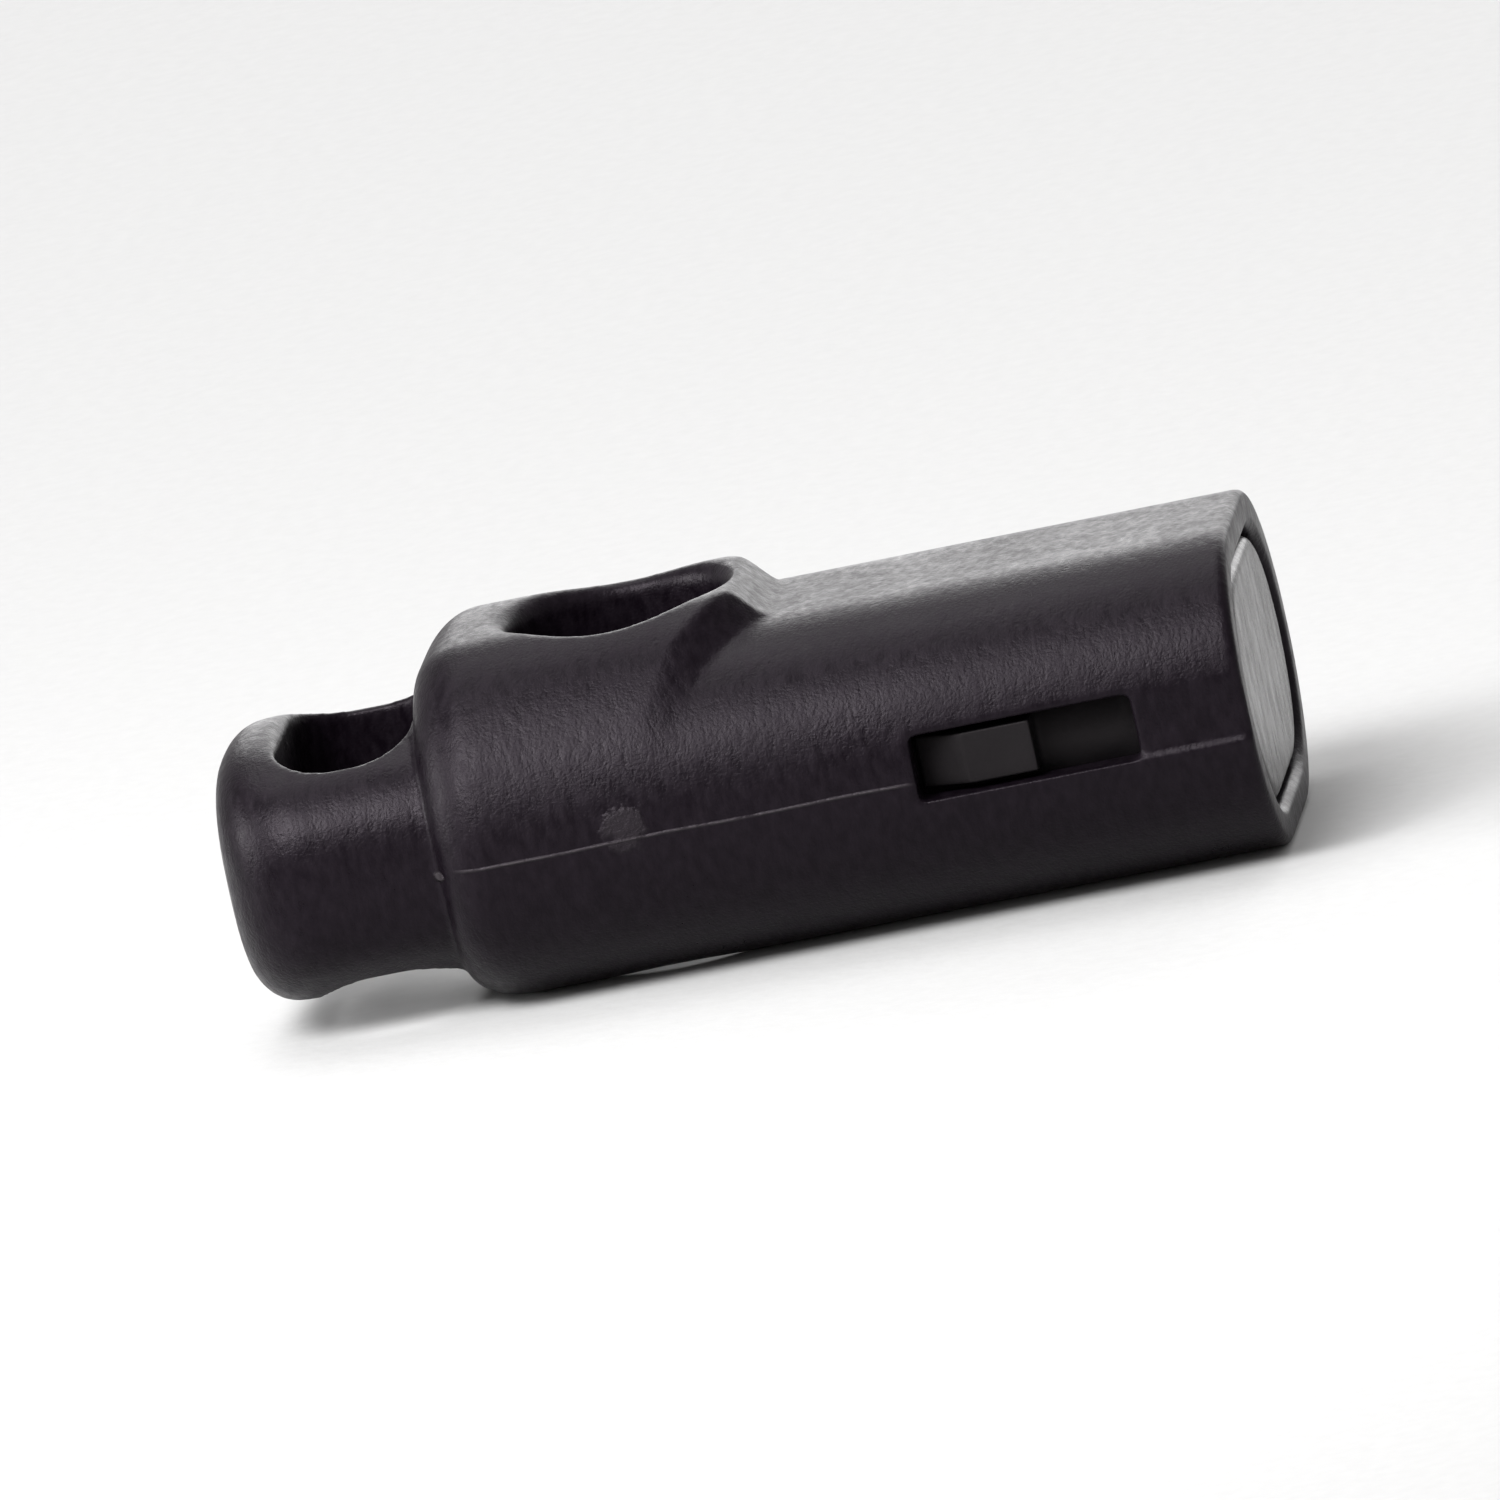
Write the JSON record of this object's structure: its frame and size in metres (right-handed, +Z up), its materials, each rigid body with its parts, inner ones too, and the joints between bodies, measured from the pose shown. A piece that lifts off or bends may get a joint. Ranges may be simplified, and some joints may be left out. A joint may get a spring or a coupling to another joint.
{
  "type": "cord lock",
  "caption": "Spring-loaded cord lock: a flat oval barrel with a tail loop and a cross hole that takes a drawcord, and a sliding plunger that grips it.",
  "frame": {"origin": "under the middle of the lock, on the plane of the barrel's flat underside", "axes": "+X along the barrel from the tail loop to the plunger's push face, +Y across the width, +Z up the cord hole to its raised lip"},
  "size_m": [0.0304, 0.0142, 0.0104],
  "materials": {
    "barrel_plastic": "black moulded plastic with a fine matt mould texture",
    "plunger_plastic": "black moulded plastic, smooth satin push face",
    "spring_steel": "bright drawn spring wire"
  },
  "bodies": {
    "barrel": {"barrel": "barrel_plastic", "return_spring": "spring_steel"},
    "plunger": {"plunger": "plunger_plastic"}
  },
  "joints": [
    {"name": "plunger_slide", "type": "slide", "parent": "barrel", "child": "plunger", "axis": [1, 0, 0], "range_m": [0, 0.0029], "stiffness_N_per_m": 1000, "springref_m": 0.007, "deforming": ["return_spring"]}
  ]
}
